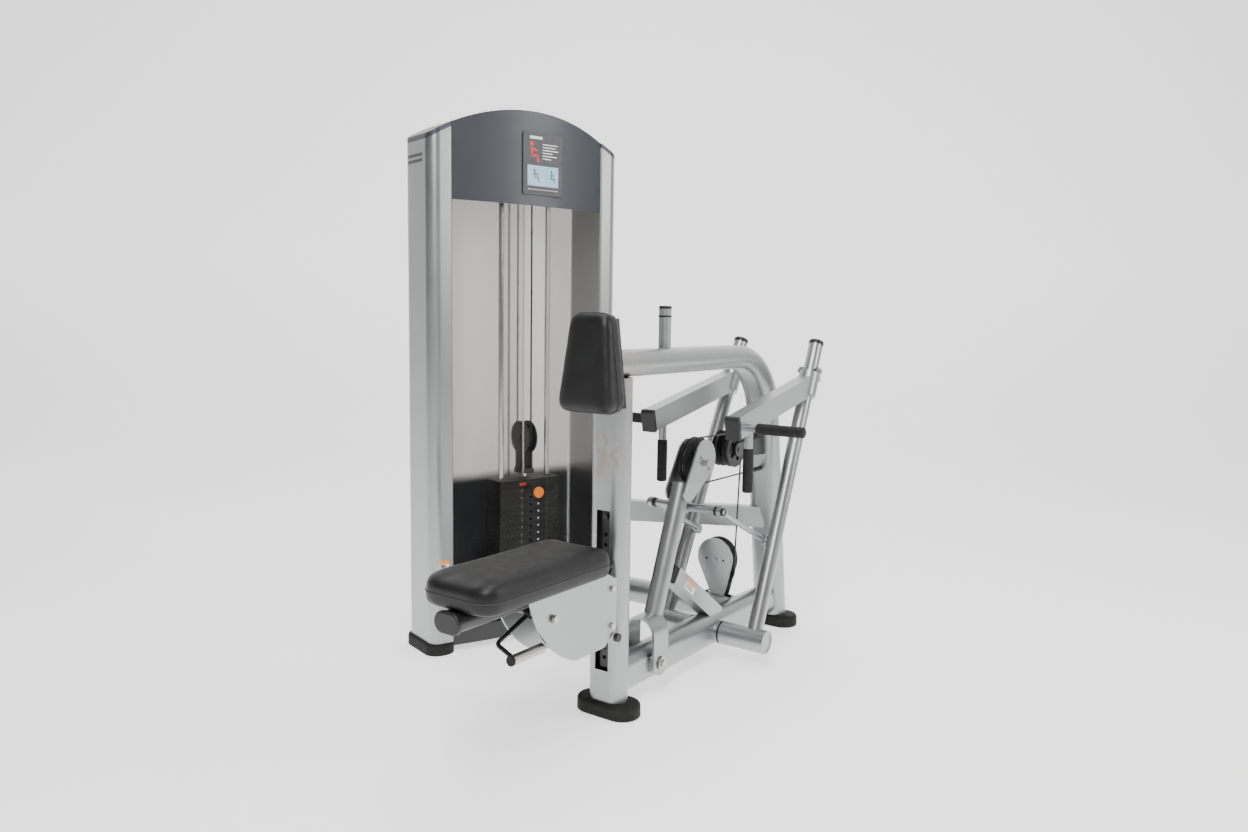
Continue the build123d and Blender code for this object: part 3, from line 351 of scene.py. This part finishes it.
def dress_frame():
    """Give every CAD node the material of its slot, with a few of their own."""
    own = {"grips_left": "grip", "grips_right": "grip", "release_grip": "steel",
           "link_rod_left": "paint", "link_rod_right": "paint", "front_post": "worn",
           "top_frame_tube": "worn", "chest_pad_mount": "black_paint", "tower_panels": "black_paint",
           "lever_pulley_plates": "paint", "lower_pulley_plates": "paint", "seat_tube": "black_paint"}
    for part in frame["record"]["subparts"]:
        node = part["node"]
        look = own.get(node, NODE_LOOK[part["material_slot"]])
        data = frame["nodes"][node].data
        data.materials.clear()
        data.materials.append(M[look])
    rear_from, hub_below, grip_cap_x = 0.12, 0.2, -0.4655
    # The rear faces get the rear-sheet material, whose lower part is painted shadow of the weight stack.
    two_looks("tower_panels", "rear_sheet_painted_shadow", lambda c: tower_coords(c)[1] > rear_from)
    for side in ("left", "right"):
        two_looks(f"arm_caps_{side}", "paint", lambda c: c.z < hub_below)
    two_looks("seat_fasteners", "plastic", is_small_plastic)
    two_looks("release_grip", "rubber", lambda c: c.x < grip_cap_x)


# ================================================================ building helpers
def mesh_object(name, verts, faces, look, body, smooth=False):
    """A mesh that rides on a CAD body."""
    data = bpy.data.meshes.new(name)
    data.from_pydata([tuple(v) for v in verts], [], faces)
    data.materials.append(M[look])
    for face in data.polygons:
        face.use_smooth = smooth
    obj = bpy.data.objects.new(name, data)
    bpy.context.scene.collection.objects.link(obj)
    if body:
        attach(obj, body)
    return obj


def tube(name, points, radius, look, body, sides=12, closed=False):
    """A round cord through points, as a closed mesh."""
    points = [Vector(p) for p in points]
    verts, faces = [], []
    count = len(points)
    side = None
    for i, p in enumerate(points):
        before = points[i - 1] if (i or closed) else p
        after = points[(i + 1) % count] if (i < count - 1 or closed) else p
        along = (after - before).normalized()
        if side is None:
            side = along.orthogonal().normalized()
        side = (side - along * side.dot(along)).normalized()
        other = along.cross(side)
        for k in range(sides):
            a = 2 * math.pi * k / sides
            verts.append(p + radius * (math.cos(a) * side + math.sin(a) * other))
    rings = count if closed else count - 1
    for i in range(rings):
        j = (i + 1) % count
        for k in range(sides):
            n = (k + 1) % sides
            faces.append((i * sides + k, i * sides + n, j * sides + n, j * sides + k))
    if not closed:
        faces.append(tuple(range(sides))[::-1])
        faces.append(tuple((count - 1) * sides + k for k in range(sides)))
    return mesh_object(name, verts, faces, look, body, smooth=True)


def densify(outline, step):
    """Extra points along the long sides, so that a bowed plate follows its curve."""
    out = []
    for i, a in enumerate(outline):
        b = outline[(i + 1) % len(outline)]
        n = max(1, int(math.hypot(b[0] - a[0], b[1] - a[1]) / step))
        out += [(a[0] + (b[0] - a[0]) * k / n, a[1] + (b[1] - a[1]) * k / n) for k in range(n)]
    return out


# ================================================================ cushions
def stuffed(name, node, body, groove):
    """A cushion blown up by cloth simulation from its CAD solid, then smoothed."""
    source = frame["nodes"][node]
    low, high = map(Vector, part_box(node))
    obj = bpy.data.objects.new(name, source.data.copy())
    bpy.context.scene.collection.objects.link(obj)
    bpy.context.view_layer.objects.active = obj
    remesh = obj.modifiers.new("even", "REMESH")
    remesh.mode = "VOXEL"
    remesh.voxel_size = 0.006
    apply_modifiers(obj)
    blow_up(obj, groove)
    fit_inside(obj, low, high)
    calm = obj.modifiers.new("calm", "SMOOTH")
    calm.factor = 0.5
    calm.iterations = 34
    smooth = obj.modifiers.new("soft", "SUBSURF")
    smooth.levels = smooth.render_levels = 1
    apply_modifiers(obj)
    obj.data.materials.clear()
    obj.data.materials.append(M["vinyl"])
    for face in obj.data.polygons:
        face.use_smooth = True
    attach(obj, body)
    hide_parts(node)
    return obj


def blow_up(obj, groove, frames=20, most=0.0045):
    """Cloth under gentle pressure, with the back past the seam held. No point moves further than most."""
    pins = obj.vertex_groups.new(name="held")
    for v in obj.data.vertices:
        if groove(v.co):
            pins.add([v.index], 1.0, "REPLACE")
    cloth = obj.modifiers.new("cloth", "CLOTH")
    cloth.settings.vertex_group_mass = "held"
    cloth.settings.use_pressure = True
    cloth.settings.uniform_pressure_force = 4
    cloth.settings.effector_weights.gravity = 0
    cloth.settings.tension_stiffness = 60
    cloth.settings.bending_stiffness = 20
    cloth.point_cache.frame_start = 1
    cloth.point_cache.frame_end = frames
    scene = bpy.context.scene
    for f in range(1, frames + 1):
        scene.frame_set(f)
    dg = bpy.context.evaluated_depsgraph_get()
    moved = bpy.data.meshes.new_from_object(obj.evaluated_get(dg))
    before = np.array([v.co for v in obj.data.vertices])
    after = np.array([v.co for v in moved.vertices])
    step = after - before
    size = np.linalg.norm(step, axis=1, keepdims=True)
    step *= np.minimum(1, most / np.maximum(size, 1e-9))
    obj.modifiers.clear()
    obj.data.vertices.foreach_set("co", (before + step).astype(np.float32).ravel())
    obj.data.update()
    bpy.data.meshes.remove(moved)
    scene.frame_set(1)


def apply_modifiers(obj):
    """Make what the modifiers give the object's own mesh."""
    dg = bpy.context.evaluated_depsgraph_get()
    data = bpy.data.meshes.new_from_object(obj.evaluated_get(dg))
    obj.modifiers.clear()
    obj.data = data


def fit_inside(obj, low, high, limit=0.006):
    """Keep the cushion within the limit of its CAD box."""
    for v in obj.data.vertices:
        for k in range(3):
            v.co[k] = min(max(v.co[k], low[k] - limit), high[k] + limit)


def seam_loop(name, obj, body, points, radius=0.0016):
    """A welt that lies on the cushion's surface through the points."""
    inverse = obj.matrix_world.inverted()
    on = []
    for p in points:
        ok, near, normal, _ = obj.closest_point_on_mesh(inverse @ Vector(p))
        on.append(obj.matrix_world @ near + normal * radius * 0.3 if ok else Vector(p))
    return tube(name, on, radius, "thread", body, 8, closed=True)


def rounded_loop(half_x, half_y, corner, steps=10):
    """Points round a rounded rectangle."""
    out = []
    for sx, sy, start in ((1, 1, 0), (-1, 1, 90), (-1, -1, 180), (1, -1, 270)):
        cx, cy = sx * (half_x - corner), sy * (half_y - corner)
        for k in range(steps + 1):
            a = math.radians(start + 90 * k / steps)
            out.append((cx + corner * math.cos(a), cy + corner * math.sin(a)))
    return densify(out, 0.012)


def make_cushions():
    """Seat cushion and chest pad, with a seam round each."""
    held_past, outside, corner, taper = 0.006, 0.01, 0.03, 0.16
    low, high = map(Vector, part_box("seat_cushion"))
    seam_z = low.z + 0.46 * (high.z - low.z)
    seat = stuffed("seat_cushion_soft", "seat_cushion", "seat", lambda co: co.z < seam_z + held_past)
    mid = (low + high) / 2
    half = (high - low) / 2
    loop = rounded_loop(half.x + outside, half.y + outside, corner)
    seam_loop("seat_seam", seat, "seat", [(mid.x + x, mid.y + y, seam_z) for x, y in loop])
    low, high = map(Vector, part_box("chest_pad"))
    seam_x = low.x + 0.55 * (high.x - low.x)
    pad = stuffed("chest_pad_soft", "chest_pad", "frame", lambda co: co.x > seam_x - held_past)
    mid = (low + high) / 2
    half = (high - low) / 2
    loop = rounded_loop(half.y + outside, half.z + outside, corner)
    points = [(seam_x, mid.y + y * (1 - taper * (1 + z / half.z)), mid.z + z) for y, z in loop]
    seam_loop("pad_seam", pad, "frame", points)


# ================================================================ the cable
def lever_run(p):
    """The cable from its anchor round the lever pulley to the upper pulley."""
    return p.z > 0.595 and p.x < 0.87 and abs(p.y) < 0.006


def stack_run(p):
    """The cable down from the top pulley, round the stack pulley and up to its end."""
    t, d = tower_coords(p)
    return p.z > 0.65 and d < 0.1 and abs(t - STACK_ACROSS) < 0.014


def still_run(p):
    """The rest of the cable, which keeps its place."""
    return not lever_run(p) and not stack_run(p)


def cable_piece(name, wanted):
    """The part of the CAD cable whose faces are wanted."""
    obj = bpy.data.objects.new(name, frame["nodes"]["lift_cable"].data.copy())
    bpy.context.scene.collection.objects.link(obj)
    work = bmesh.new()
    work.from_mesh(obj.data)
    drop = [f for f in work.faces if not wanted(f.calc_center_median())]
    bmesh.ops.delete(work, geom=drop, context="FACES")
    work.to_mesh(obj.data)
    work.free()
    obj.data.materials.clear()
    obj.data.materials.append(M["cable"])
    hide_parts("lift_cable")
    return obj


def make_cable():
    """The cable in three pieces: the run that keeps its place rides on the frame; the spans at the lever and
    at the stack are baked into world space and ride on no body.
    """
    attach(cable_piece("cable_guided", still_run), "frame")
    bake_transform(cable_piece("cable_at_lever", lever_run))
    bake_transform(cable_piece("cable_at_stack", stack_run))


# ================================================================ marks and small parts
def touch(node, p, direction):
    """Where a ray through p meets a CAD node, or p itself where it meets nothing."""
    obj = frame["nodes"][node]
    inverse = obj.matrix_world.inverted()
    start = inverse @ (Vector(p) - Vector(direction) * 0.12)
    hit, where, _, _ = obj.ray_cast(start, (inverse.to_3x3() @ Vector(direction)).normalized())
    return obj.matrix_world @ where if hit else Vector(p)


def mark(name, node, centre, right, up, outline, look, body="frame", lift=0.0006):
    """A printed mark: an outline in metres, laid on the surface of a CAD node."""
    inward = up.cross(right).normalized()
    verts = []
    for x, z in outline:
        verts.append(touch(node, centre + right * x + up * z, inward) - inward * lift)
    return mesh_object(name, verts, [tuple(range(len(verts)))], look, body)


def box_outline(x, z, w, h):
    """A rectangle round its middle."""
    return [(x - w / 2, z - h / 2), (x + w / 2, z - h / 2), (x + w / 2, z + h / 2), (x - w / 2, z + h / 2)]


def disc_outline(x, z, r, n=20):
    """A disc with n corners."""
    angles = [2 * math.pi * k / n for k in range(n)]
    return [(x + r * math.cos(a), z + r * math.sin(a)) for a in angles]


def bar_outline(a, b, w):
    """A straight limb of width w from a to b."""
    ax, az, bx, bz = *a, *b
    length = math.hypot(bx - ax, bz - az)
    nx, nz = -(bz - az) / length * w / 2, (bx - ax) / length * w / 2
    return [(ax - nx, az - nz), (bx - nx, bz - nz), (bx + nx, bz + nz), (ax + nx, az + nz)]


def figure(name, centre, k, look, lean=0.0):
    """A plain pictogram of a seated person of size k, as printed marks on the placard."""
    hip, knee, foot = (0, 0), (0.75 * k, 0.05 * k), (0.8 * k, -0.7 * k)
    neck, shoulder, hand = (lean * k, 0.9 * k), (lean * k, 0.8 * k), (0.75 * k, 0.55 * k)
    put = {"node": "header_placard", "centre": centre, "right": ACROSS, "up": UP, "look": look}
    for n, (a, b) in enumerate(((hip, neck), (hip, knee), (knee, foot), (shoulder, hand))):
        mark(f"{name}_limb_{n}", outline=bar_outline(a, b, 0.24 * k), **put)
    mark(f"{name}_head", outline=disc_outline(lean * k, 1.25 * k, 0.24 * k), **put)


def make_placard():
    """A generic instruction placard: a seated figure, rows of bars and a pale picture panel."""
    low, high = map(Vector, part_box("header_placard"))
    t, d = tower_coords((low + high) / 2)
    z = (low.z + high.z) / 2
    put = {"node": "header_placard", "centre": at_tower(t, d, z), "right": ACROSS, "up": UP}
    mark("placard_title", outline=box_outline(-0.028, 0.086, 0.050, 0.009), look="white", **put)
    figure("placard_person", at_tower(t - 0.046, d, z + 0.026), 0.031, "red")
    for row, wide in enumerate((0.060, 0.052, 0.064, 0.040, 0.058, 0.034)):
        bar = box_outline(0.004 + wide / 2 - 0.006, 0.066 - 0.0095 * row, wide, 0.0032)
        mark(f"placard_row_{row}", outline=bar, look="white", **put)
    mark("placard_picture", outline=box_outline(0, -0.040, 0.124, 0.068), look="blue", **put)
    for n, side in enumerate((-1, 1)):
        spot = at_tower(t + side * 0.032, d, z - 0.046)
        figure(f"picture_person_{n}", spot, 0.018, "dark_print", 0.15 * side)
    for k in range(14):
        dot = disc_outline((k - 6.5) * 0.0088, -0.086, 0.0021, 10)
        mark(f"placard_dot_{k}", outline=dot, look="white", **put)


def blank_label(name, node, centre, right, up, width, height):
    """A blank two-colour label, without any lettering."""
    put = {"node": node, "right": right, "up": up, "centre": centre}
    mark(name, outline=box_outline(0, 0, width, height), look="white", **put)
    strip = box_outline(0, height * 0.36, width, height * 0.28)
    mark(f"{name}_strip", outline=strip, look="label_orange", lift=0.0012, **put)
    for k in range(3):
        row = box_outline(-width * 0.06, height * (0.08 - 0.17 * k), width * 0.7, height * 0.06)
        mark(f"{name}_row_{k}", outline=row, look="dark_print", lift=0.0012, **put)


def make_marks():
    """Plate marks, the bars on the left column and the two blank labels."""
    dot = disc_outline(0, 0, 0.0032, 12)
    for k in range(PLATES):
        node, body = ("lifted_plates", "stack") if k == PLATES - 1 else ("weight_plates", "frame")
        for n, side in enumerate((-1, 1)):
            spot = at_tower(STACK_ACROSS + side * 0.032, 0, PLATE_MID + PLATE_PITCH * k)
            mark(f"plate_mark_{k}_{n}", node, spot, ACROSS, UP, dot, "white", body)
    mark("top_plate_mark", "lifted_plates", at_tower(-0.022, 0.0, 0.551), ACROSS, UP,
         box_outline(0, 0, 0.026, 0.010), "red", "stack")
    for n, z in enumerate((1.655, 1.637)):
        mark(f"column_bar_{n}", "tower_columns", at_tower(-0.378, 0.100, z), -BACK, UP,
             box_outline(0, 0, 0.100, 0.010), "dark_print")
    blank_label("column_label", "tower_columns", at_tower(-0.334, -0.02, 0.30), ACROSS, UP, 0.034, 0.050)
    along = Vector((0.811, 0, -0.585))
    middle = Vector((0.400, -0.025, 0.285))
    blank_label("stop_tube_label", "stop_tube", middle, along, along.cross(Vector((0, 1, 0))), 0.070, 0.034)


# ================================================================ stage, light and camera
def make_stage():
    """A pale floor that curves up into a pale wall behind the machine, as the camera sees it."""
    view_dir = Vector((math.sin(CAM_YAW), math.cos(CAM_YAW), 0))
    side = Vector((view_dir.y, -view_dir.x, 0))
    half, back, bend, height, below = 9, 2.6, 1.5, 7, 0.0005
    profile = [(-half, 0), (back, 0)]
    profile += [(back + bend * math.sin(a), bend - bend * math.cos(a)) for a in (0.3, 0.6, 0.9, 1.2, 1.5708)]
    profile.append((back + bend, height))
    verts, faces = [], []
    for u, z in profile:
        for s in (-half, half):
            verts.append(view_dir * u + side * s + UP * (z - below))
    for k in range(len(profile) - 1):
        faces.append((2 * k, 2 * k + 1, 2 * k + 3, 2 * k + 2))
    data = bpy.data.meshes.new("floor")
    data.from_pydata([tuple(v) for v in verts], [], faces)
    data.materials.append(floor_material())
    for face in data.polygons:
        face.use_smooth = True
    obj = bpy.data.objects.new("floor", data)
    bpy.context.scene.collection.objects.link(obj)


def area_light(name, where, target, size, power):
    """A soft rectangular lamp aimed at a point."""
    data = bpy.data.lights.new(name, "AREA")
    data.shape = "RECTANGLE"
    data.size, data.size_y = size
    data.energy = power
    obj = bpy.data.objects.new(name, data)
    obj.location = where
    obj.rotation_euler = (Vector(target) - Vector(where)).to_track_quat("-Z", "Y").to_euler()
    bpy.context.scene.collection.objects.link(obj)


def make_lights():
    """An even pale world and three soft lamps."""
    world = bpy.data.worlds.new("studio")
    bpy.context.scene.world = world
    world.use_nodes = True
    world.node_tree.nodes["Background"].inputs["Color"].default_value = (1, 1, 1, 1)
    world.node_tree.nodes["Background"].inputs["Strength"].default_value = 0.25
    area_light("key", (-2.2, -1.2, 3.6), (0.3, 0.2, 0.7), (1.1, 2.4), 135)
    area_light("fill", (1.6, -3.4, 2.4), (0.4, 0.2, 0.7), (0.8, 2.2), 60)
    area_light("top", (0.3, 0.2, 4.2), (0.3, 0.3, 0.5), (2.6, 2.6), 75)


CAM_YAW, CAM_PITCH, CAM_ROLL = math.radians(54.62), math.radians(6.19), math.radians(0.883)
CAM_AT, CAM_LENS = (-2.1651, -1.5768, 1.158), 27.52


def make_camera():
    """A camera at chest height, behind the seat and to its right."""
    sy, cy, sp, cp = math.sin(CAM_YAW), math.cos(CAM_YAW), math.sin(CAM_PITCH), math.cos(CAM_PITCH)
    forward = Vector((sy * cp, cy * cp, -sp))
    right = Vector((cy, -sy, 0))
    up = right.cross(forward)
    c, s = math.cos(CAM_ROLL), math.sin(CAM_ROLL)
    x_axis, y_axis = c * right + s * up, c * up - s * right
    data = bpy.data.cameras.new("camera")
    data.lens = CAM_LENS
    data.sensor_width = 36
    obj = bpy.data.objects.new("camera", data)
    basis = Matrix((x_axis, y_axis, -forward)).transposed().to_4x4()
    obj.matrix_world = Matrix.Translation(CAM_AT) @ basis
    bpy.context.scene.collection.objects.link(obj)
    bpy.context.scene.camera = obj


dress_frame()
make_cushions()
make_cable()
make_placard()
make_marks()
make_stage()
make_lights()
make_camera()
